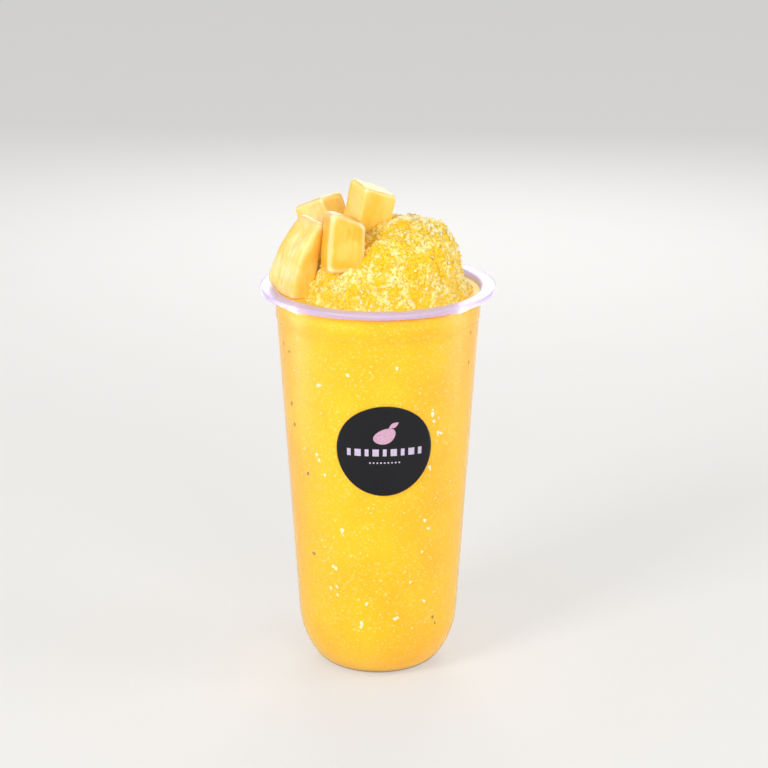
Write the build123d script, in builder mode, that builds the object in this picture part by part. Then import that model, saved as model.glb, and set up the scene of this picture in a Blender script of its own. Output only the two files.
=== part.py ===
from build123d import *
import os
from math import acos, atan2, cos, degrees, hypot, pi, radians, sin, tan

# Mango smoothie in a round-bottomed clear cup, heaped above the rim and topped with cubes of mango.
# Millimetres. The origin is the centre of the cup's base, +Z is up, and -Y is the side with the label.

# ---- cup ----
cup_height = 153.0          # base to the top of the rim
rim_radius = 45.0           # outer edge of the rim: a 90 mm cup
rim_reach = 5.4             # how far the rim stands out from the wall
wall = 0.65                 # thickness of the wall
base_radius = 16.5          # flat foot
heel_radius = 10.7          # small round above the foot
heel_sweep = 56.0           # degrees of the small round
shoulder_radius = 34.0      # large round, which runs into the straight wall
recess_radius = 12.0        # raised middle of the foot
recess_height = 0.8
band_height = 11.6          # upright band under the rim
band_taper = 0.033          # how far the band leans out, mm per mm
band_step = 0.3             # ledge where the band meets the tapered wall
band_step_height = 0.5
rim_thickness = 0.9
lip_height = 2.1            # the rim's edge is turned down this far
lip_round = 0.8
mouth_round = 1.8           # round from the wall's inside to the top of the rim
mouth_radius = rim_radius - rim_reach       # outside of the wall right under the rim
mouth_inside = mouth_radius - wall

# ---- label ----
label_diameter = 36.0
label_thickness = 0.15
label_height = 97.3         # height of its centre
label_turn = 4.0            # degrees round the cup, towards +X
label_gap = 0.02            # glue line
label_points = 36           # points round its outline

# ---- smoothie ----
fill_gap = 0.05             # between the drink and the cup's wall
fill_drop = 2.8             # level at the wall, below the top of the rim
heap_rise = 26.0            # top of the heap, above the rim
heap_x = 2.0                # middle of the heap
heap_y = 1.0
heap_margin = 6.45          # from the wall to the heap's foot on the +X side
heap_spread = 3.0           # how much further the foot reaches on the -X side
heap_back = 3.5             # and on the +Y side
heap_crown = 0.995          # share of the rise where the heap is flat on top
heap_rings = 8              # outlines, one above the other
ring_points = 16            # points round each outline
crown_shift = 3.8           # how far the top of the heap leans towards +X
lump_height = 0.6           # unevenness of the scooped surface
heap_radius = mouth_inside - heap_margin - heap_x

# ---- mango ----
mango_round = 1.1           # softened edges of the cubes
rest_gap = 0.3              # between the fruit and the rim that it leans over
fruit_inset = 5.35          # from the wall to the middle of the wedge's foot
fruit_x = fruit_inset - mouth_inside
fruit_z = cup_height + heap_rise            # the fruit lies as high as the heap does

# Each cube: width, depth and length along its own axes, the middle of its upper face
# from (fruit_x, 0, fruit_z), the way its width runs, the way its length points,
# and two knife cuts: how far the upper and the lower face slant across the width and the depth.
mango_cubes = {
    "mango_top": dict(
        size=(15.0, 11.5, 24.5),
        place=(32.2, 3.2, 10.6),
        width_way=(0.823, 0.535, -0.191),
        length_way=(0.225, 0.001, 0.974),
        top_slant=(9.5, 3.0),
        foot_slant=(0.0, 0.0),
    ),
    "mango_back": dict(
        size=(11.6, 16.4, 17.0),
        place=(10.3, 15.9, 3.1),
        width_way=(0.688, 0.720, 0.090),
        length_way=(-0.330, 0.200, 0.923),
        top_slant=(0.0, 0.0),
        foot_slant=(0.0, 0.0),
    ),
    "mango_front": dict(
        size=(13.0, 13.0, 19.8),
        place=(21.4, -13.2, 2.9),
        width_way=(0.969, 0.224, -0.105),
        length_way=(0.074, 0.142, 0.987),
        top_slant=(16.0, 0.0),
        foot_slant=(-8.0, 0.0),
    ),
}

# The wedge from the outside of the fruit: flat where it was cut, curved where the skin was.
# Its ways are given like those of the cubes.
wedge_width = 10.0
wedge_depth = 18.0
wedge_length = 30.0
wedge_curve = 44.0          # radius of the fruit there
wedge_place = (0.0, -4.8, -28.6)    # middle of its foot
wedge_width_way = (0.818, 0.559, -0.137)
wedge_length_way = (0.165, 0.0, 0.986)
wedge_low = 5.0             # the curve stands upright at this height of the wedge
wedge_top_slant = 9.0       # degrees, the far side is cut narrower towards the top
knife_reach = 60.0          # longer than any piece


# ---- the cup's outline, worked out from the sizes above ----
heel_turn = radians(heel_sweep)
shoulder_x = base_radius + (heel_radius - shoulder_radius) * sin(heel_turn)
shoulder_z = heel_radius - (heel_radius - shoulder_radius) * cos(heel_turn)
band_z = cup_height - band_height
band_radius = mouth_radius - band_taper * (band_height - rim_thickness)
step_radius = band_radius - band_step
step_z = band_z - band_step_height
reach_x, reach_z = step_radius - shoulder_x, step_z - shoulder_z
wall_turn = atan2(reach_z, reach_x) - acos(shoulder_radius / hypot(reach_x, reach_z))  # wall's normal
shoulder_sweep = 90 - heel_sweep + degrees(wall_turn)


def cup_line(inset, top):
    """The outline of the cup from its axis to the height top, moved inwards by inset."""
    corner = inset * tan(pi / 8)
    riser = recess_radius + recess_height
    Polyline(
        (0, recess_height + inset),
        (recess_radius + corner, recess_height + inset),
        (riser + corner, inset),
        (base_radius, inset),
    )
    CenterArc((base_radius, heel_radius), heel_radius - inset, -90, heel_sweep)
    shoulder = CenterArc(
        (shoulder_x, shoulder_z), shoulder_radius - inset, heel_sweep - 90, shoulder_sweep
    )
    return Polyline(
        shoulder @ 1,
        (step_radius - inset / cos(wall_turn), step_z),
        (band_radius - inset, band_z),
        (band_radius + band_taper * (top - band_z) - inset, top),
    )


def cup_radius(z):
    """Outer radius of the tapered wall, carried on as a straight line, at a height."""
    return step_radius - (step_z - z) * tan(-wall_turn)


# ---- the cup: a thin shell with a flat rim turned down at its edge ----
rim_z = cup_height - rim_thickness
lip_radius = rim_radius - rim_thickness
with BuildPart() as cup:
    with BuildSketch(Plane.XZ) as cup_section:
        with BuildLine():
            outer = cup_line(0, rim_z)
            Polyline(
                outer @ 1,
                (lip_radius, rim_z),
                (lip_radius, cup_height - lip_height),
                (rim_radius, cup_height - lip_height),
                (rim_radius, cup_height),
                (0, cup_height),
                (0, recess_height),
            )
        make_face()
        with BuildLine():
            inner = cup_line(wall, cup_height)
            Polyline(inner @ 1, (0, cup_height), (0, recess_height + wall))
        make_face(mode=Mode.SUBTRACT)
        at_rim = cup_section.vertices().group_by(Axis.Y)
        fillet(at_rim[-2].sort_by(Axis.X)[0], mouth_round - wall)
        at_top = cup_section.vertices().group_by(Axis.Y)[-1].sort_by(Axis.X)
        fillet(at_top[0], mouth_round)
        at_top = cup_section.vertices().group_by(Axis.Y)[-1].sort_by(Axis.X)
        fillet(at_top[-1], lip_round)
    revolve(axis=Axis.Z)

# ---- the label: a thin disc that follows the wall ----
label_skin = cup_radius(label_height) + label_gap
with BuildPart() as label:
    with BuildSketch(Plane.XZ):
        with BuildLine():
            low, high = label_height - label_diameter, label_height + label_diameter
            Polyline(
                (cup_radius(low) + label_gap, low),
                (cup_radius(high) + label_gap, high),
                (cup_radius(high) + label_gap + label_thickness, high),
                (cup_radius(low) + label_gap + label_thickness, low),
                close=True,
            )
        make_face()
    revolve(axis=Axis.Z)
    with BuildSketch(Plane.XZ.rotated((0, 0, label_turn))):
        with BuildLine():
            outline = []
            for step in range(label_points):
                turn = 2 * pi * step / label_points
                along = label_diameter / 2 * cos(turn)      # length along the wall
                across = label_skin * sin(along / label_skin)
                outline.append((across, label_height + label_diameter / 2 * sin(turn)))
            Spline(*outline, periodic=True)
        make_face()
    extrude(amount=rim_radius, mode=Mode.INTERSECT)


# ---- the mango: cubes with softened edges, and a wedge from the outside of the fruit ----
def cut_across(height, slants, above):
    """Knife cut through the middle of a piece at a height, leaning across its width and depth."""
    side = Align.MIN if above else Align.MAX
    with Locations(Location((0, 0, height), (slants[1], slants[0], 0))):
        Box(*[knife_reach] * 3, align=(Align.CENTER, Align.CENTER, side), mode=Mode.SUBTRACT)


pieces = {}
for name, cube in mango_cubes.items():
    x, y, rise = cube["place"]
    width, depth, length = cube["size"]
    lie = Plane((fruit_x + x, y, fruit_z + rise), x_dir=cube["width_way"], z_dir=cube["length_way"])
    with BuildPart(lie) as piece:
        with Locations((0, 0, -length / 2)):
            Box(width, depth, 2 * length)
        cut_across(0, cube["top_slant"], above=True)
        cut_across(-length, cube["foot_slant"], above=False)
        fillet(piece.edges(), mango_round)
    with BuildPart() as pressed:
        add(piece.part)
        for neighbour in pieces.values():
            add(neighbour.part, mode=Mode.SUBTRACT)         # soft fruit gives way to what it presses on
    pieces[name] = pressed

x, y, rise = wedge_place
lie = Plane((fruit_x + x, y, fruit_z + rise), x_dir=wedge_width_way, z_dir=wedge_length_way)
with BuildPart(lie) as wedge:
    Box(wedge_width, wedge_depth, wedge_length, align=(Align.CENTER, Align.CENTER, Align.MIN))
    with Locations(Location((wedge_curve - wedge_width / 2, 0, wedge_low), (90, 0, 0))):
        Cylinder(wedge_curve, 2 * wedge_depth, mode=Mode.INTERSECT)
    with Locations(Location((0, wedge_depth / 2, wedge_low), (wedge_top_slant, 0, 0))):
        knife = (Align.CENTER, Align.MIN, Align.CENTER)
        Box(*[knife_reach] * 3, align=knife, mode=Mode.SUBTRACT)
    fillet(wedge.edges(), mango_round)

with BuildPart() as mango_left:
    add(wedge.part)
    with BuildSketch(Plane.XZ):                             # stays clear of the wall and the rim
        with BuildLine():
            clear = mouth_radius - wall - rest_gap
            Polyline(
                (clear, 0),
                (clear, cup_height - mouth_round / 2),
                (clear + mouth_round / 2, cup_height + rest_gap),
                (rim_radius + wedge_depth, cup_height + rest_gap),
                (rim_radius + wedge_depth, 0),
                close=True,
            )
        make_face()
    revolve(axis=Axis.Z, mode=Mode.SUBTRACT)
    for neighbour in pieces.values():
        add(neighbour.part, mode=Mode.SUBTRACT)
pieces["mango_left"] = mango_left


# ---- the smoothie: fills the cup and stands up in a scooped heap ----
def heap_ring(share):
    """Outline of the heap where it has risen by this share of its height, steeper on the +X side."""
    points = []
    for step in range(ring_points):
        turn = 2 * pi * step / ring_points
        way = cos(turn)
        back = max(0, sin(turn - 0.3))
        reach = heap_radius + heap_spread * (1 - way) / 2 + heap_back * back
        out = (1 - share ** (1.55 + 0.45 * way + 0.5 * back)) ** (1 / (2.6 + 0.6 * way))
        lump = lump_height * sin(3 * turn + 5 * share) * cos(2 * turn - 4 * share + 0.6)
        radius = reach * out + lump
        middle = heap_x + crown_shift * share**2
        points.append((middle + radius * cos(turn), heap_y + radius * sin(turn)))
    return points


inset = wall + fill_gap
fill_z = cup_height - fill_drop
with BuildPart() as smoothie:
    with BuildSketch(Plane.XZ):
        with BuildLine():
            inner = cup_line(inset, fill_z)
            Polyline(inner @ 1, (0, fill_z), (0, recess_height + inset))
        make_face()
    revolve(axis=Axis.Z)
    for ring in range(heap_rings + 1):
        share = heap_crown * sin(pi / 2 * ring / heap_rings)
        with BuildSketch(Plane.XY.offset(fill_z + (heap_rise + fill_drop) * share)):
            with BuildLine():
                Spline(*heap_ring(share), periodic=True)
            make_face()
    loft()
    for piece in pieces.values():
        add(piece.part, mode=Mode.SUBTRACT)                 # the slush is moulded round the fruit

# ---- one file for each piece ----
os.makedirs("parts", exist_ok=True)
pieces.update(cup=cup, label=label, smoothie=smoothie)
for name, piece in pieces.items():
    piece.part.label = name
    export_step(piece.part, f"parts/{name}.step")
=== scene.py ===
import math
import random

import bmesh
import bpy
import numpy as np
from mathutils import Matrix, Vector, noise


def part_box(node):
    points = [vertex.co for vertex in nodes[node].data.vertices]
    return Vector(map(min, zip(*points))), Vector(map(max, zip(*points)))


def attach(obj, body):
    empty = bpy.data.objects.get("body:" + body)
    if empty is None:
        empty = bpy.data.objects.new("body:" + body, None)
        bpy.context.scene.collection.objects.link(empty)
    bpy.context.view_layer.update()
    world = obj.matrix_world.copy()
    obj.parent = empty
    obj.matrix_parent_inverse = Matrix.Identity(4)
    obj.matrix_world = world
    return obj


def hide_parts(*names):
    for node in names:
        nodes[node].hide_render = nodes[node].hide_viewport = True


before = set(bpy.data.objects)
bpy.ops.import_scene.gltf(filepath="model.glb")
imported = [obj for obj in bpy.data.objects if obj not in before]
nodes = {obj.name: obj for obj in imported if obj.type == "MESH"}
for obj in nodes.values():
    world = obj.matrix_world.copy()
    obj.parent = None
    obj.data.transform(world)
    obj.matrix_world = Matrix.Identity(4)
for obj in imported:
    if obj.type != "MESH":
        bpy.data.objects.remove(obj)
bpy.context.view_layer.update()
mm = 0.001
scene = bpy.context.scene
scene.view_settings.view_transform = "Standard"


# small helpers
def addPiece(name, mesh, material, replaced=None):
    mesh.name = name
    piece = bpy.data.objects.new(name, mesh)
    scene.collection.objects.link(piece)
    mesh.materials.clear()
    mesh.materials.append(material)
    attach(piece, "root")
    if replaced:
        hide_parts(replaced)
    print("piece", name, len(mesh.polygons), "faces")
    return piece


def meshFrom(bm, name, smooth=True):
    mesh = bpy.data.meshes.new(name)
    bm.to_mesh(mesh)
    bm.free()
    for face in mesh.polygons:
        face.use_smooth = smooth
    return mesh


def smoothStep(low, high, value):
    t = min(1.0, max(0.0, (value - low) / (high - low)))
    return t * t * (3 - 2 * t)


def startMaterial(name):
    material = bpy.data.materials.new(name)
    material.use_nodes = True
    tree = material.node_tree
    tree.nodes.clear()
    output = tree.nodes.new("ShaderNodeOutputMaterial")
    return material, tree, output


# inputs are given by socket name, with _ for a space; an output is linked, a value is set
def addNode(tree, kind, settings=None, **inputs):
    node = tree.nodes.new("ShaderNode" + kind)
    for key, value in (settings or {}).items():
        setattr(node, key, value)
    for key, value in inputs.items():
        wire(tree, node, key.replace("_", " "), value)
    return node


def feed(tree, socket, value):
    if isinstance(value, bpy.types.NodeSocket):
        tree.links.new(value, socket)
    else:
        socket.default_value = value


# i0, i1 and so on stand for a socket's number
def wire(tree, node, key, value):
    numbered = key[0] == "i" and key[1:].isdigit()
    feed(tree, node.inputs[int(key[1:])] if numbered else node.inputs[key], value)


def objectPoint(tree):
    return addNode(tree, "TexCoord").outputs["Object"]


def noiseOf(tree, point, scale, detail=2.0):
    return addNode(tree, "TexNoise", Vector=point, Scale=scale, Detail=detail).outputs["Fac"]


def mixColours(tree, factor, first, second):
    node = addNode(tree, "Mix", {"data_type": "RGBA"})
    wire(tree, node, "Factor", factor)
    for socket, value in zip([s for s in node.inputs if s.type == "RGBA"], (first, second)):
        feed(tree, socket, value)
    return [s for s in node.outputs if s.type == "RGBA"][0]


def doMath(tree, operation, first, second=0.0, clamp=False):
    node = addNode(tree, "Math", {"operation": operation, "use_clamp": clamp})
    wire(tree, node, "i0", first)
    wire(tree, node, "i1", second)
    return node.outputs[0]


def rescale(tree, value, low, high, toLow=0.0, toHigh=1.0):
    node = addNode(tree, "MapRange", {"clamp": True, "interpolation_type": "SMOOTHSTEP"}, Value=value)
    for key, number in zip(("From Min", "From Max", "To Min", "To Max"), (low, high, toLow, toHigh)):
        node.inputs[key].default_value = number
    return node.outputs["Result"]


def rgb(red, green, blue):
    return (red, green, blue, 1.0)


# places, read from the frame
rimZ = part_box("cup")[1].z
levelDrop = 2.8 * mm            # slush at the wall, below the rim
levelZ = rimZ - levelDrop
labelPoints = [v.co.copy() for v in nodes["label"].data.vertices]
labelTurns = [math.atan2(v.x, -v.y) for v in labelPoints]
labelTurn = (min(labelTurns) + max(labelTurns)) / 2
labelLow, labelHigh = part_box("label")[0].z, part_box("label")[1].z
labelZ = (labelLow + labelHigh) / 2
labelSize = labelHigh - labelLow


# (radius, height) points of a turned node's outline below a height, from its axis outwards
def outlineOf(node, top):
    found = {}
    for vertex in nodes[node].data.vertices:
        radius, z = math.hypot(vertex.co.x, vertex.co.y), vertex.co.z
        if z < top:
            found[(round(radius, 5), round(z, 5))] = True
    middle = 0.6 * top
    return sorted(found, key=lambda p: math.atan2(p[0], middle - p[1]))


fillLine = outlineOf("smoothie", levelZ - 0.2 * mm)
fillEdge = max(radius for radius, z in fillLine)


# radius of the drink at a height on the tapered wall
def fillRadius(z):
    below = [p for p in fillLine if p[1] <= z] or fillLine[:1]
    above = [p for p in fillLine if p[1] > z] or fillLine[-1:]
    (r0, z0), (r1, z1) = max(below, key=lambda p: p[1]), min(above, key=lambda p: p[1])
    return r0 if z1 <= z0 else r0 + (r1 - r0) * (z - z0) / (z1 - z0)


print("frame read: rim at", round(rimZ, 4), "fill edge", round(fillEdge, 4))

# slush and its grains
slushLook = dict(
    deep=rgb(1.0, 0.56, 0.006),
    middle=rgb(1.0, 0.61, 0.012),
    pale=rgb(1.0, 0.76, 0.20),
    cloudSize=22.0, grainSize=1.3,     # mm
    fineScale=900.0, glintShare=0.55, bump=0.2, bumpHeight=0.3 * mm,
    subsurface=0.45, reach=3.0 * mm, roughness=0.42, sheen=0.22,
)


def makeSlushMaterial():
    look = slushLook
    material, tree, output = startMaterial("mangoSlush")
    point = objectPoint(tree)
    clouds = rescale(tree, noiseOf(tree, point, 1000 / look["cloudSize"], 3.0), 0.38, 0.66)
    cells = addNode(tree, "TexVoronoi", Vector=point, Scale=1000 / look["grainSize"]).outputs["Distance"]
    glints = rescale(tree, cells, 0.6, 0.1)
    fine = rescale(tree, noiseOf(tree, point, look["fineScale"]), 0.4, 0.62)
    glints = doMath(tree, "MULTIPLY", glints, fine)
    colour = mixColours(tree, clouds, look["middle"], look["deep"])
    colour = mixColours(tree, doMath(tree, "MULTIPLY", glints, look["glintShare"]), colour, look["pale"])
    bump = addNode(tree, "Bump", Strength=look["bump"], Distance=look["bumpHeight"], Height=cells)
    shader = addNode(
        tree, "BsdfPrincipled", {"subsurface_method": "RANDOM_WALK"},
        Base_Color=colour, Roughness=look["roughness"], IOR=1.25, Normal=bump.outputs[0],
        Subsurface_Weight=look["subsurface"], Subsurface_Scale=look["reach"],
        Subsurface_Radius=(1.0, 0.7, 0.15),
        Sheen_Weight=look["sheen"], Sheen_Roughness=0.45, Sheen_Tint=rgb(1.0, 0.96, 0.85),
    )
    tree.links.new(shader.outputs[0], output.inputs[0])
    return material


grainLook = dict(
    deep=rgb(1.0, 0.65, 0.022), pale=rgb(1.0, 0.88, 0.38), clear=rgb(1.0, 0.94, 0.68),
    hazeScale=1400.0, roughness=0.36, ior=1.2, clearness=0.18,
)


# iced grains, each with its own tint; with clearness they let through some of what is behind
def makeGrainMaterial(name, deep, pale, clearness):
    material, tree, output = startMaterial(name)
    tint = addNode(tree, "Attribute", {"attribute_name": "tint"}).outputs["Fac"]
    haze = rescale(tree, noiseOf(tree, objectPoint(tree), grainLook["hazeScale"]), 0.4, 0.65, -0.15, 0.2)
    share = doMath(tree, "ADD", tint, haze, clamp=True)
    colour = mixColours(tree, share, deep, pale)
    shader = addNode(tree, "BsdfPrincipled", Base_Color=colour, Roughness=grainLook["roughness"],
                     IOR=grainLook["ior"])
    if not clearness:
        tree.links.new(shader.outputs[0], output.inputs[0])
        return material
    clear = addNode(tree, "BsdfTransparent", Color=rgb(1.0, 0.97, 0.86))
    edge = addNode(tree, "LayerWeight", Blend=0.35).outputs["Facing"]
    factor = rescale(tree, edge, 0.0, 0.9, 1.0 - clearness, 1.0)
    mixed = addNode(tree, "MixShader", Fac=factor, i1=clear.outputs[0], i2=shader.outputs[0])
    tree.links.new(mixed.outputs[0], output.inputs[0])
    return material


slushMaterial = makeSlushMaterial()
grainMaterial = makeGrainMaterial("icedGrains", grainLook["deep"], grainLook["pale"], 0.0)
iceMaterial = makeGrainMaterial("clearIce", grainLook["pale"], grainLook["clear"], grainLook["clearness"])

# the heap's form
heap = dict(
    x=2.0 * mm, y=1.0 * mm, rise=24.0 * mm, radius=29.5 * mm, spread=3.0 * mm, back=3.5 * mm,
    crownShift=5.4 * mm, lump=0.6 * mm, flare=4.5 * mm, flareTop=0.35,
    backTurn=0.3, droop=1.55, fullness=2.6,
    rings=96, shelfRings=12, sides=320, wallStep=3.5 * mm, crownEase=1.15,
    wallReach=0.35 * mm,               # just into the wall, so no air shows
    clump=1.3 * mm, clumpSize=7.0 * mm, lumps=0.75 * mm, lumpSize=2.8 * mm,
    grain=0.25 * mm, grainSize=1.8 * mm,
)


# a point of the scooped heap at a direction and a share of its height
def heapPoint(turn, share):
    way, back = math.cos(turn), max(0.0, math.sin(turn - heap["backTurn"]))
    flare = heap["flare"] * (0.55 + 0.45 * way) * max(0.0, 1 - share / heap["flareTop"]) ** 2
    reach = heap["radius"] + heap["spread"] * (1 - way) / 2 + heap["back"] * back + flare
    out = (1 - share ** (heap["droop"] + 0.45 * way + 0.5 * back)) ** (1 / (heap["fullness"] + 0.6 * way))
    lump = heap["lump"] * math.sin(3 * turn + 5 * share) * math.cos(2 * turn - 4 * share + 0.6)
    radius = reach * out + lump * min(1.0, 4 * out)
    middle = heap["x"] + heap["crownShift"] * share**2
    z = levelZ + (heap["rise"] + levelDrop) * share
    return Vector((middle + radius * math.cos(turn), heap["y"] + radius * math.sin(turn), z))


# height of the granular surface over the smooth heap
def relief(point, amount):
    clump = noise.noise(point / heap["clumpSize"]) * heap["clump"]
    clump += noise.noise(point / heap["lumpSize"] + Vector((4, 2, 9))) * heap["lumps"]
    cell = noise.voronoi(point / heap["grainSize"])[0][0]
    return amount * (clump + (0.42 - cell) * heap["grain"])


def makeSlush():
    bm = bmesh.new()
    foot, edge = heap["radius"], fillEdge
    line = [(0.0, fillLine[0][1])] + list(fillLine) + [(edge, levelZ)]
    tall = []
    for (r0, z0), (r1, z1) in zip(line, line[1:]):
        pieces = max(1, round(math.hypot(r1 - r0, z1 - z0) / heap["wallStep"]))
        tall += [(r0 + (r1 - r0) * i / pieces, z0 + (z1 - z0) * i / pieces) for i in range(pieces)]
    shelf = [(edge + (foot - edge) * i / heap["shelfRings"], levelZ) for i in range(heap["shelfRings"])]
    dome = []
    for i in range(heap["rings"] + 1):
        share = math.sin(math.pi / 2 * i / heap["rings"]) ** heap["crownEase"]
        dome.append((foot * (1 - i / heap["rings"]), levelZ + (heap["rise"] + levelDrop) * share))
    chain = [bm.verts.new((r, 0, z)) for r, z in tall + shelf + dome]
    chain[0].co.x = chain[-1].co.x = 0
    edges = [bm.edges.new(pair) for pair in zip(chain, chain[1:])]
    bmesh.ops.spin(
        bm, geom=chain + edges, cent=(0, 0, 0), axis=(0, 0, 1), angle=2 * math.pi,
        steps=heap["sides"], use_merge=True, use_duplicate=False,
    )
    bmesh.ops.remove_doubles(bm, verts=bm.verts, dist=0.001 * mm)
    bmesh.ops.recalc_face_normals(bm, faces=bm.faces)
    bm.normal_update()
    sideMoves = {v: v.normal * heap["wallReach"] for v in bm.verts if v.co.z < levelZ - 0.05 * mm}
    for vertex in bm.verts:
        radius, turn = math.hypot(vertex.co.x, vertex.co.y), math.atan2(vertex.co.y, vertex.co.x)
        if vertex.co.z > levelZ + 0.01 * mm:
            vertex.co = heapPoint(turn, min(1.0, (vertex.co.z - levelZ) / (heap["rise"] + levelDrop)))
        elif vertex.co.z > levelZ - 0.01 * mm:
            share = (radius - foot) / (edge - foot)
            rim = Vector((math.cos(turn), math.sin(turn), 0)) * (edge + heap["wallReach"])
            rim.z = levelZ
            vertex.co = heapPoint(turn, 0.0).lerp(rim, share)
        elif vertex in sideMoves:
            vertex.co += sideMoves[vertex]
    bm.normal_update()
    moves = []
    for vertex in bm.verts:
        if vertex.co.z > levelZ - 0.02 * mm:
            inward = smoothStep(edge, edge - 5 * mm, math.hypot(vertex.co.x, vertex.co.y))
            climb = smoothStep(levelZ - 1 * mm, levelZ + 5 * mm, vertex.co.z)
            moves.append((vertex, vertex.normal * relief(vertex.co, inward * (0.25 + 0.75 * climb))))
    for vertex, move in moves:
        vertex.co += move
    return addPiece("slush", meshFrom(bm, "slush"), slushMaterial, "smoothie")


slush = makeSlush()

# one rough grain of 20 faces, with a radius of about 1
def grainShape(seed, bumps=0.28):
    draw = random.Random(seed)
    bm = bmesh.new()
    bmesh.ops.create_icosphere(bm, subdivisions=1, radius=1.0)
    for vertex in bm.verts:
        vertex.co *= 1 + draw.uniform(-bumps, bumps)
    points = np.array([v.co[:] for v in bm.verts])
    faces = np.array([[v.index for v in f.verts] for f in bm.faces])
    bm.free()
    return points, faces


grainShapes = [grainShape(seed) for seed in range(8)]


# one mesh of many grains; a spot is (place, outward way, radius, stretch, flatness, tint, spin)
def joinGrains(name, spots, material, smooth):
    points, faces, tints, start = [], [], [], 0
    for number, (place, way, radius, stretch, flat, tint, spin) in enumerate(spots):
        shape, sides = grainShapes[number % len(grainShapes)]
        turn = way.to_track_quat("Z", "Y").to_matrix() @ Matrix.Rotation(spin, 3, "Z")
        size = Matrix.Diagonal((radius * stretch, radius, radius * flat))
        points.append(shape @ np.array(turn @ size).T + np.array(place))
        faces.append(sides + start)
        tints.append(np.full(len(shape), tint))
        start += len(shape)
    mesh = bpy.data.meshes.new(name)
    mesh.from_pydata(np.concatenate(points).tolist(), [], np.concatenate(faces).tolist())
    mesh.attributes.new("tint", "FLOAT", "POINT").data.foreach_set("value", np.concatenate(tints))
    for face in mesh.polygons:
        face.use_smooth = smooth
    return addPiece(name, mesh, material)


def heapNormal(turn, share):
    here = heapPoint(turn, share)
    along = heapPoint(turn + 0.02, share) - here
    up = heapPoint(turn, min(1.0, share + 0.01)) - heapPoint(turn, max(0.0, share - 0.01))
    return along.cross(up).normalized()


grains = dict(
    count=9600, small=0.32 * mm, large=1.2 * mm, stretch=(1.0, 1.7), flat=(0.6, 1.0), sunk=(-0.85, -0.1),
    tilt=0.5, tint=(0.4, 0.17), clouds=1.1, cloudSize=5.0 * mm, seed=4,
)


def heapGrains():
    draw = random.Random(grains["seed"])
    spots = []
    while len(spots) < grains["count"]:
        turn, height = draw.uniform(0, 2 * math.pi), draw.random()
        share = min(0.9995, 1 - (1 - height) ** 1.25)
        here = heapPoint(turn, share)
        spread = math.hypot(here.x - heap["x"], here.y) / heap["radius"]
        if draw.random() > 0.25 + 0.75 * spread:
            continue
        way = heapNormal(turn, share)
        size = grains["small"] + (grains["large"] - grains["small"]) * draw.random() ** 2.2
        here = here + way * (relief(here, 1.0) + draw.uniform(*grains["sunk"]) * size)
        tilt = Vector([draw.gauss(0, grains["tilt"]) for axis in range(3)])
        cloud = noise.noise(here / grains["cloudSize"] + Vector((8, 3, 5)))
        tint = min(1.0, max(0.0, draw.gauss(*grains["tint"]) + grains["clouds"] * cloud))
        spots.append((here, (way + tilt).normalized(), size, draw.uniform(*grains["stretch"]),
                      draw.uniform(*grains["flat"]), tint, draw.uniform(0, 6.3)))
    return spots


joinGrains("slushGrains", heapGrains(), grainMaterial, True)
print("grains laid")

# clear ice over the heap, most of it on the crest, and pale flecks at the wall
ice = dict(
    crest=115, crestTurn=(0.35, 0.55), crestShare=(0.93, 0.09), crestSize=(0.4, 1.05),
    scattered=430, scatteredSize=(0.25, 0.7), seed=11,
    # (turn in degrees, height in mm, how many)
    flecks=[
        (41, 102, 3), (36, 106, 2), (33, 111, 2), (35, 88, 2), (-37, 122, 1), (-40, 92, 2), (-38, 85, 1),
        (-31, 38, 4), (-33, 48, 2), (-12, 24, 2), (36, 33, 1), (32, 64, 2), (31, 55, 1), (16, 26, 2),
        (-6, 34, 1), (22, 44, 1), (-22, 62, 1), (8, 132, 1), (-18, 128, 1),
    ],
    fleckSize=(0.40, 0.80), fleckTint=0.85,
    moreFlecks=1100, moreSize=(0.14, 0.38), moreTint=(0.0, 0.42), moreLow=22, moreReach=118,
    fleckColour=rgb(1.0, 0.95, 0.74), mottleScale=1800.0, thickness=0.05 * mm, wallLift=0.36 * mm,
)


def iceGlints():
    draw = random.Random(ice["seed"])
    spots = []
    for number in range(ice["crest"] + ice["scattered"]):
        if number < ice["crest"]:                          # along the crest and its far side
            turn = draw.gauss(*ice["crestTurn"])
            share = min(0.999, max(0.55, draw.gauss(*ice["crestShare"])))
            size = draw.uniform(*ice["crestSize"]) * mm
        else:
            turn, share = draw.uniform(0, 2 * math.pi), draw.random() ** 1.6 * 0.99
            size = draw.uniform(*ice["scatteredSize"]) * mm
        here, way = heapPoint(turn, share), heapNormal(turn, share)
        here = here + way * (relief(here, 1.0) + 0.6 * size)
        tilt = Vector([draw.gauss(0, 0.7) for axis in range(3)])
        spots.append((here, (way + tilt).normalized(), size, draw.uniform(1.0, 1.8),
                      draw.uniform(0.45, 0.9), draw.uniform(0.2, 1.0), draw.uniform(0, 6.3)))
    return spots


# a flat fleck against the inside of the wall; turn 0 is the side with the label
def wallSpot(turnDegrees, z, size, tall, tint, draw):
    turn = math.radians(turnDegrees)
    way = Vector((math.sin(turn), -math.cos(turn), 0))
    radius = fillRadius(z) + ice["wallLift"]
    place = Vector((way.x * radius, way.y * radius, z))
    return (place, way, size, tall, ice["thickness"] / size, tint, math.pi / 2 + draw.gauss(0, 0.5))


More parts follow.
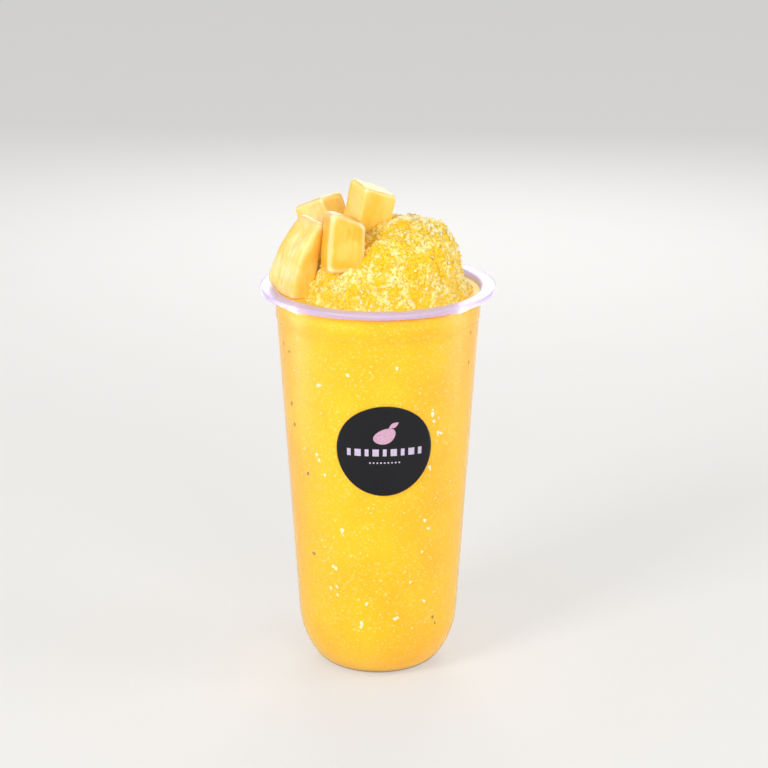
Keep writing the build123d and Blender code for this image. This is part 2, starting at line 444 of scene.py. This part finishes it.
def wallFlecks():
    draw = random.Random(ice["seed"] + 1)
    spots = []
    for turn, height, count in ice["flecks"]:
        for fleck in range(count):
            spots.append(wallSpot(turn + draw.gauss(0, 1.5), (height + draw.gauss(0, 1.3)) * mm,
                                  draw.uniform(*ice["fleckSize"]) * mm, draw.uniform(1.1, 1.8),
                                  ice["fleckTint"], draw))
    for fleck in range(ice["moreFlecks"]):                 # finer ones all round, closer low down
        height = ice["moreLow"] + ice["moreReach"] * draw.random() ** 1.35
        spots.append(wallSpot(draw.uniform(0, 360), height * mm, draw.uniform(*ice["moreSize"]) * mm,
                              draw.uniform(1.0, 1.6), draw.uniform(*ice["moreTint"]), draw))
    return spots


joinGrains("clearIce", iceGlints(), iceMaterial, False)


def makeFleckMaterial(name, colour, roughness):
    material, tree, output = startMaterial(name)
    tint = addNode(tree, "Attribute", {"attribute_name": "tint"}).outputs["Fac"]
    mottle = noiseOf(tree, objectPoint(tree), ice["mottleScale"])
    share = doMath(tree, "ADD", tint, rescale(tree, mottle, 0.35, 0.65, -0.12, 0.12), clamp=True)
    shade = mixColours(tree, share, slushLook["pale"], colour)
    shader = addNode(tree, "BsdfPrincipled", Base_Color=shade, Roughness=roughness, IOR=1.31)
    tree.links.new(shader.outputs[0], output.inputs[0])
    return material


joinGrains("wallFlecks", wallFlecks(),
           makeFleckMaterial("paleIce", ice["fleckColour"], 0.2), False)

# air pockets at the wall, drawn as dark flecks: their dark colour is painted shade
pockets = dict(
    # (turn in degrees, height in mm, how many)
    spots=[
        (-64, 110, 1), (-62, 102, 1), (-62, 131, 1), (-70, 133, 1), (-50, 84, 1), (66, 138, 1),
        (66, 126, 1), (-49, 51, 1), (43, 25, 1), (46, 22, 1), (150, 60, 2), (175, 95, 2),
        (-140, 120, 2), (120, 132, 2), (-165, 40, 1), (95, 80, 1), (-100, 66, 1),
    ],
    # the dark brown colour is painted shade, standing for the shade inside the voids
    size=(0.55, 1.0), colour=rgb(0.40, 0.24, 0.08), roughness=0.35, seed=5,
)


def airPockets():
    draw = random.Random(pockets["seed"])
    spots = []
    for turn, height, count in pockets["spots"]:
        for pocket in range(count):
            aside = draw.gauss(0, 1.0) * (count > 1)
            above = draw.gauss(0, 2.0) * (count > 1)
            spots.append(wallSpot(turn + aside, (height + above) * mm, draw.uniform(*pockets["size"]) * mm,
                                  draw.uniform(1.1, 1.6), 1.0, draw))
    return spots


# dark flecks whose colour is painted shade
joinGrains("airPockets", airPockets(),
           makeFleckMaterial("airPocket", pockets["colour"], pockets["roughness"]), False)
print("ice and air pockets laid")

# mango
mango = dict(
    voxel=0.5 * mm, swell=0.35 * mm, swellSize=8.0 * mm, fibre=0.10 * mm, fibreSize=1.1 * mm,
    # the range after along, and the edge colour with its share, paint a highlight: paler colour where
    # smoothing moved the edges most
    along=(0.25, 0.0, 0.97), worn=(0.2, 0.85),
    edge=rgb(1.0, 0.86, 0.50), edgeShare=0.85, cloudScale=110.0, fibreScale=1500.0,
    bump=0.25, bumpHeight=0.25 * mm, roughness=0.38, coat=0.15,
    subsurface=0.4, reach=3.0 * mm,
)
mangoPieces = dict(   # rounds of smoothing, how much is filled out again, ripe flesh, paler clouds
    mango_top=(16, 0.15 * mm, rgb(1.0, 0.58, 0.045), rgb(1.0, 0.72, 0.20)),
    mango_back=(24, 0.20 * mm, rgb(1.0, 0.60, 0.07), rgb(1.0, 0.74, 0.24)),
    mango_left=(80, 0.50 * mm, rgb(1.0, 0.60, 0.08), rgb(1.0, 0.79, 0.36)),
    mango_front=(130, 0.85 * mm, rgb(1.0, 0.47, 0.014), rgb(1.0, 0.60, 0.08)),
)


def makeMangoMaterial(name, flesh, pale):
    material, tree, output = startMaterial(name)
    point = objectPoint(tree)
    cloud = noiseOf(tree, point, mango["cloudScale"])
    stretched = addNode(tree, "Mapping", Vector=point, Rotation=(0.2, 0.3, 0.5), Scale=(1.0, 1.0, 0.22))
    fibre = noiseOf(tree, stretched.outputs[0], mango["fibreScale"], 3.0)
    shares = doMath(tree, "ADD", rescale(tree, cloud, 0.35, 0.7, 0.0, 0.7),
                    rescale(tree, fibre, 0.4, 0.7, 0.0, 0.16), clamp=True)
    colour = mixColours(tree, shares, flesh, pale)
    # painted highlight: the edge mask turns the edges paler
    edge = addNode(tree, "Attribute", {"attribute_name": "edge"}).outputs["Fac"]
    colour = mixColours(tree, doMath(tree, "MULTIPLY", edge, mango["edgeShare"]), colour, mango["edge"])
    bump = addNode(tree, "Bump", Strength=mango["bump"], Distance=mango["bumpHeight"], Height=fibre)
    shader = addNode(
        tree, "BsdfPrincipled", {"subsurface_method": "RANDOM_WALK"},
        Base_Color=colour, Roughness=mango["roughness"], IOR=1.36, Normal=bump.outputs[0],
        Subsurface_Weight=mango["subsurface"], Subsurface_Scale=mango["reach"],
        Subsurface_Radius=(1.0, 0.6, 0.15), Coat_Weight=mango["coat"], Coat_Roughness=0.2,
    )
    tree.links.new(shader.outputs[0], output.inputs[0])
    return material


def meshNow(piece):
    return bpy.data.meshes.new_from_object(piece.evaluated_get(bpy.context.evaluated_depsgraph_get()))


# the cut piece with rounded edges, slightly swollen faces and fine fibres, and a painted highlight: paler
# colour on the edges where smoothing moved them most
def makeMango(node):
    rounds, filling, flesh, pale = mangoPieces[node]
    bm = bmesh.new()
    bm.from_mesh(nodes[node].data)
    bmesh.ops.remove_doubles(bm, verts=bm.verts, dist=0.005 * mm)
    rough = bpy.data.objects.new("rough", meshFrom(bm, "rough"))
    scene.collection.objects.link(rough)
    remesh = rough.modifiers.new("remesh", "REMESH")
    remesh.mode, remesh.voxel_size = "VOXEL", mango["voxel"]
    sharp = meshNow(rough)
    soften = rough.modifiers.new("soften", "SMOOTH")
    soften.factor, soften.iterations = 0.5, rounds
    bpy.context.view_layer.update()
    shaped = meshNow(rough)
    bpy.data.objects.remove(rough)
    # how far smoothing moved each point becomes the mask of the painted edge highlight
    moved = [(new.co - old.co).length for new, old in zip(shaped.vertices, sharp.vertices)]
    worn = [smoothStep(*mango["worn"], move / max(moved)) for move in moved]
    bm = bmesh.new()
    bm.from_mesh(shaped)
    bm.normal_update()
    along = Vector(mango["along"])
    for vertex in bm.verts:
        low = noise.noise(vertex.co / mango["swellSize"] + Vector((3, 1, 7)))
        across = vertex.co - along * vertex.co.dot(along) * 0.8
        fibre = noise.noise(across / mango["fibreSize"])
        vertex.co += vertex.normal * (filling + mango["swell"] * low + mango["fibre"] * fibre)
    name = "cut" + node.title().replace("_", "")
    mesh = meshFrom(bm, name)
    mesh.attributes.new("edge", "FLOAT", "POINT").data.foreach_set("value", worn)
    return addPiece(name, mesh, makeMangoMaterial(name + "Flesh", flesh, pale), node)


for node in sorted(n for n in nodes if n.startswith("mango_")):
    makeMango(node)

# cup
cupLook = dict(
    milk=rgb(0.78, 0.71, 0.97), mirror=rgb(1.0, 1.0, 1.0),
    clear=rgb(0.99, 0.98, 0.99), rimClear=rgb(0.87, 0.81, 0.95),
    haze=0.008, slantHaze=0.015, footHaze=0.02, rimHaze=0.36,
    gloss=1.2, rimGloss=0.3, roughness=0.3, ior=1.49,
    smearScale=45.0, slant=(0.08, 0.36), foot=(2 * mm, 14 * mm), rim=(rimZ - 2.6 * mm, rimZ - 1.6 * mm),
)


# clear plastic: gloss and a thin haze over what is behind, with a milkier lilac rim
def makeCupMaterial():
    material, tree, output = startMaterial("clearPlastic")
    point = objectPoint(tree)
    height = addNode(tree, "SeparateXYZ", Vector=point).outputs["Z"]
    smear = rescale(tree, noiseOf(tree, point, cupLook["smearScale"], 4.0), 0.3, 0.7, 0.5, 1.5)
    wallHaze = doMath(tree, "MULTIPLY", smear, cupLook["haze"])
    footHaze = rescale(tree, height, *cupLook["foot"], cupLook["footHaze"], 0.0)
    atRim = rescale(tree, height, *cupLook["rim"])
    rimHaze = doMath(tree, "MULTIPLY", atRim, cupLook["rimHaze"])
    aslant = addNode(tree, "LayerWeight", Blend=0.5).outputs["Facing"]
    slantHaze = rescale(tree, aslant, *cupLook["slant"], 0.0, cupLook["slantHaze"])
    wallHaze = doMath(tree, "ADD", wallHaze, slantHaze)
    haze = doMath(tree, "ADD", doMath(tree, "ADD", wallHaze, footHaze), rimHaze)
    gloss = addNode(tree, "Fresnel", IOR=cupLook["gloss"]).outputs[0]
    gloss = doMath(tree, "MULTIPLY", gloss, rescale(tree, atRim, 0.0, 1.0, 1.0, cupLook["rimGloss"]))
    share = doMath(tree, "ADD", haze, gloss, clamp=True)
    mirror = doMath(tree, "DIVIDE", gloss, share, clamp=True)
    colour = mixColours(tree, mirror, cupLook["milk"], cupLook["mirror"])
    tone = mixColours(tree, atRim, cupLook["clear"], cupLook["rimClear"])
    clear = addNode(tree, "BsdfTransparent", Color=tone)
    shader = addNode(tree, "BsdfPrincipled", Base_Color=colour, Metallic=mirror, IOR=cupLook["ior"],
                     Roughness=cupLook["roughness"])
    mixed = addNode(tree, "MixShader", Fac=share, i1=clear.outputs[0], i2=shader.outputs[0])
    tree.links.new(mixed.outputs[0], output.inputs[0])
    return material


cup = nodes["cup"]
cup.data.materials.clear()
cup.data.materials.append(makeCupMaterial())
for face in cup.data.polygons:
    face.use_smooth = True
cup.visible_shadow = False                 # clear, so lamps light what it holds

# label
labelLook = dict(
    grid=56, thickness=0.12 * mm, printLift=0.13 * mm, printThickness=0.03 * mm, grainScale=2500.0,
    black=rgb(0.004, 0.004, 0.006), lilac=rgb(0.52, 0.44, 0.60), pink=rgb(0.54, 0.32, 0.44),
    blackRoughness=0.33, printRoughness=0.4, halfWidth=18,
)
labelRows = sorted((v.z, math.hypot(v.x, v.y)) for v in labelPoints)
coneLow, coneHigh = min(labelRows), max(labelRows)
coneSlope = (coneHigh[1] - coneLow[1]) / (coneHigh[0] - coneLow[0])


# place on the cup's wall, lift above it, for a distance across and up from the label's middle
def onLabel(across, up, lift):
    radius = coneLow[1] + coneSlope * (labelZ + up - coneLow[0]) + lift
    turn = labelTurn + across / coneLow[1]
    return Vector((radius * math.sin(turn), -radius * math.cos(turn), labelZ + up))


def makeVinyl(name, colour, roughness):
    material, tree, output = startMaterial(name)
    grain = noiseOf(tree, objectPoint(tree), labelLook["grainScale"])
    lighter = tuple(min(1.0, 1.25 * c + 0.002) for c in colour[:3]) + (1.0,)
    shade = mixColours(tree, rescale(tree, grain, 0.35, 0.7), colour, lighter)
    bump = addNode(tree, "Bump", Strength=0.08, Distance=0.03 * mm, Height=grain)
    shader = addNode(tree, "BsdfPrincipled", Base_Color=shade, Roughness=roughness, IOR=1.33,
                     Normal=bump.outputs[0])
    tree.links.new(shader.outputs[0], output.inputs[0])
    return material


def makeLabelDisc():
    bm = bmesh.new()
    bmesh.ops.create_grid(bm, x_segments=labelLook["grid"], y_segments=labelLook["grid"], size=1.0)
    for vertex in bm.verts:
        x, y = vertex.co.x, vertex.co.y
        across, up = x * math.sqrt(1 - y * y / 2), y * math.sqrt(1 - x * x / 2)
        vertex.co = onLabel(across * labelSize / 2, up * labelSize / 2, 0.0)
    bmesh.ops.recalc_face_normals(bm, faces=bm.faces)
    outward = sum((f.normal.dot(Vector((f.calc_center_median().x, f.calc_center_median().y, 0)))
                   for f in bm.faces))
    if outward < 0:
        bmesh.ops.reverse_faces(bm, faces=bm.faces)
    bmesh.ops.solidify(bm, geom=bm.faces[:], thickness=-labelLook["thickness"])
    bmesh.ops.recalc_face_normals(bm, faces=bm.faces)
    return addPiece("labelDisc", meshFrom(bm, "labelDisc"),
                    makeVinyl("blackVinyl", labelLook["black"], labelLook["blackRoughness"]), "label")


makeLabelDisc()


def leaning(outline, x, z, lean):
    return [(x + a * math.cos(lean) - b * math.sin(lean), z + a * math.sin(lean) + b * math.cos(lean))
            for a, b in outline]


# points round an ellipse, leaning, and drawn out to a nose at one side
def ellipse(x, z, wide, tall, lean=0.0, points=28, nose=0.0):
    outline = []
    for i in range(points):
        turn = 2 * math.pi * i / points
        outline.append((wide * math.cos(turn) * (1 + nose * math.sin(turn)), tall * math.sin(turn)))
    return leaning(outline, x, z, lean)


# a pointed leaf
def lens(x, z, length, width, lean, points=10):
    side = [(-length / 2 + length * i / points, width / 2 * math.sin(math.pi * i / points))
            for i in range(points + 1)]
    loop = side + [(a, -b) for a, b in reversed(side[1:-1])]
    return leaning(loop, x, z, lean)


# flat outlines of (across, up) points in mm, wrapped round the label
def wrapPrint(name, outlines, material):
    bm = bmesh.new()
    for outline in outlines:
        bm.faces.new([bm.verts.new((x * mm, 0, z * mm)) for x, z in outline])
    bmesh.ops.triangulate(bm, faces=bm.faces[:])
    for cut in range(1 - labelLook["halfWidth"], labelLook["halfWidth"]):
        bmesh.ops.bisect_plane(bm, geom=bm.verts[:] + bm.edges[:] + bm.faces[:], dist=1e-7,
                               plane_co=(cut * mm, 0, 0), plane_no=(1, 0, 0))
    bmesh.ops.recalc_face_normals(bm, faces=bm.faces)
    if sum(f.normal.y for f in bm.faces) > 0:
        bmesh.ops.reverse_faces(bm, faces=bm.faces)
    for vertex in bm.verts:
        vertex.co = onLabel(vertex.co.x, vertex.co.z, labelLook["printLift"])
    bmesh.ops.solidify(bm, geom=bm.faces[:], thickness=-labelLook["printThickness"])
    return addPiece(name, meshFrom(bm, name, False), material)


# a plain row of blocks across the label and a row of dots below, in mm from its middle
band = dict(
    count=9, pitch=3.3, halves=(0.7, 1.15), low=-1.9, high=0.9,
    dotPitch=1.35, dotHeight=-4.6, dot=0.34,
)


def bandShapes():
    shapes = []
    middle, low, high = band["count"] // 2, band["low"], band["high"]
    for i in range(band["count"]):
        x, half = (i - middle) * band["pitch"], band["halves"][i % 2]
        shapes.append([(x - half, low), (x + half, low), (x + half, high), (x - half, high)])
    for i in range(band["count"]):
        x = (i - middle) * band["dotPitch"]
        shapes.append(ellipse(x, band["dotHeight"], band["dot"], band["dot"], points=10))
    return shapes


fruit, leaf = ellipse(0.0, 5.9, 4.2, 2.9, lean=0.45, nose=0.18), lens(3.2, 10.4, 4.2, 1.9, 0.55)
wrapPrint("labelBand", bandShapes(),
          makeVinyl("printPaleLilac", labelLook["lilac"], labelLook["printRoughness"]))
wrapPrint("labelFruit", [fruit, leaf],
          makeVinyl("printPink", labelLook["pink"], labelLook["printRoughness"]))
print("label printed")

# floor, light and camera
stage = dict(
    floorSize=3.0, floorColour=rgb(0.86, 0.85, 0.83), floorGlow=0.5,
    worldColour=rgb(0.97, 0.98, 1.0), worldLight=0.48, backdrop=0.66,
    lens=122.7, sensor=36.0, shift=0.0078, distance=1.0, height=15.05, pitch=17.26,
)
lamps = dict(   # place, what it points at, width, height, watts, colour, seen only as gloss
    keyLight=((-0.55, -0.62, 0.55), (0, 0, 0.13), 0.28, 0.38, 4.4, (1.0, 0.99, 0.97), False),
    fillLight=((0.35, -0.85, 0.35), (0, 0, 0.09), 0.35, 0.55, 2.6, (1.0, 1.0, 1.0), False),
    sideLight=((0.70, -0.10, 0.35), (0, 0, 0.09), 0.30, 0.55, 1.3, (1.0, 1.0, 1.0), False),
    backLight=((0.05, 0.80, 0.48), (0, 0, 0.10), 0.50, 0.40, 2.8, (1.0, 1.0, 1.0), False),
    leftStrip=((-0.32, 0.03, 0.25), (0, 0.03, 0.25), 0.14, 0.50, 1.0, (1.0, 1.0, 1.0), True),
    rightStrip=((0.32, 0.03, 0.25), (0, 0.03, 0.25), 0.14, 0.50, 0.8, (1.0, 1.0, 1.0), True),
)


def makeFloor():
    bm = bmesh.new()
    bmesh.ops.create_grid(bm, x_segments=8, y_segments=8, size=stage["floorSize"])
    material, tree, output = startMaterial("paleFloor")
    mottle = noiseOf(tree, objectPoint(tree), 30.0, 3.0)
    tone = stage["floorColour"]
    shade = mixColours(tree, mottle, tone, tuple(0.97 * c for c in tone[:3]) + (1.0,))
    shader = addNode(tree, "BsdfPrincipled", Base_Color=shade, Roughness=0.8, Specular_IOR_Level=0.0)
    glow = addNode(tree, "Emission", Color=tone)
    seen = addNode(tree, "LightPath").outputs["Is Camera Ray"]
    seen = doMath(tree, "MULTIPLY", seen, stage["floorGlow"])
    mixed = addNode(tree, "MixShader", Fac=seen, i1=shader.outputs[0], i2=glow.outputs[0])
    tree.links.new(mixed.outputs[0], output.inputs[0])
    mesh = meshFrom(bm, "floor", False)
    mesh.materials.append(material)
    floor = bpy.data.objects.new("floor", mesh)
    scene.collection.objects.link(floor)


def addLamp(name, place, target, width, height, power, colour, glossOnly):
    light = bpy.data.lights.new(name, "AREA")
    light.shape, light.size, light.size_y = "RECTANGLE", width, height
    light.energy, light.color = power, colour
    lamp = bpy.data.objects.new(name, light)
    lamp.location = place
    lamp.rotation_euler = (Vector(target) - Vector(place)).to_track_quat("-Z", "Y").to_euler()
    lamp.visible_diffuse = not glossOnly
    scene.collection.objects.link(lamp)


makeFloor()
world = bpy.data.worlds.new("studio")
scene.world = world
world.use_nodes = True
tree = world.node_tree
tree.nodes.clear()
paths = addNode(tree, "LightPath")
seen = doMath(tree, "MAXIMUM", paths.outputs["Is Camera Ray"], paths.outputs["Is Glossy Ray"])
seen = doMath(tree, "MAXIMUM", seen, paths.outputs["Is Transmission Ray"])
strength = rescale(tree, seen, 0.0, 1.0, stage["worldLight"], stage["backdrop"])
background = addNode(tree, "Background", Color=stage["worldColour"], Strength=strength)
tree.links.new(background.outputs[0], addNode(tree, "OutputWorld").inputs[0])

for name, settings in lamps.items():
    addLamp(name, *settings)

rise, pitch = math.radians(stage["height"]), math.radians(stage["pitch"])
view = bpy.data.cameras.new("camera")
view.lens, view.sensor_width, view.shift_x = stage["lens"], stage["sensor"], stage["shift"]
view.clip_start, view.clip_end = 0.05, 20.0
camera = bpy.data.objects.new("camera", view)
camera.location = (0, -stage["distance"] * math.cos(rise), rimZ + stage["distance"] * math.sin(rise))
camera.rotation_euler = (math.pi / 2 - pitch, 0, 0)
scene.collection.objects.link(camera)
scene.camera = camera
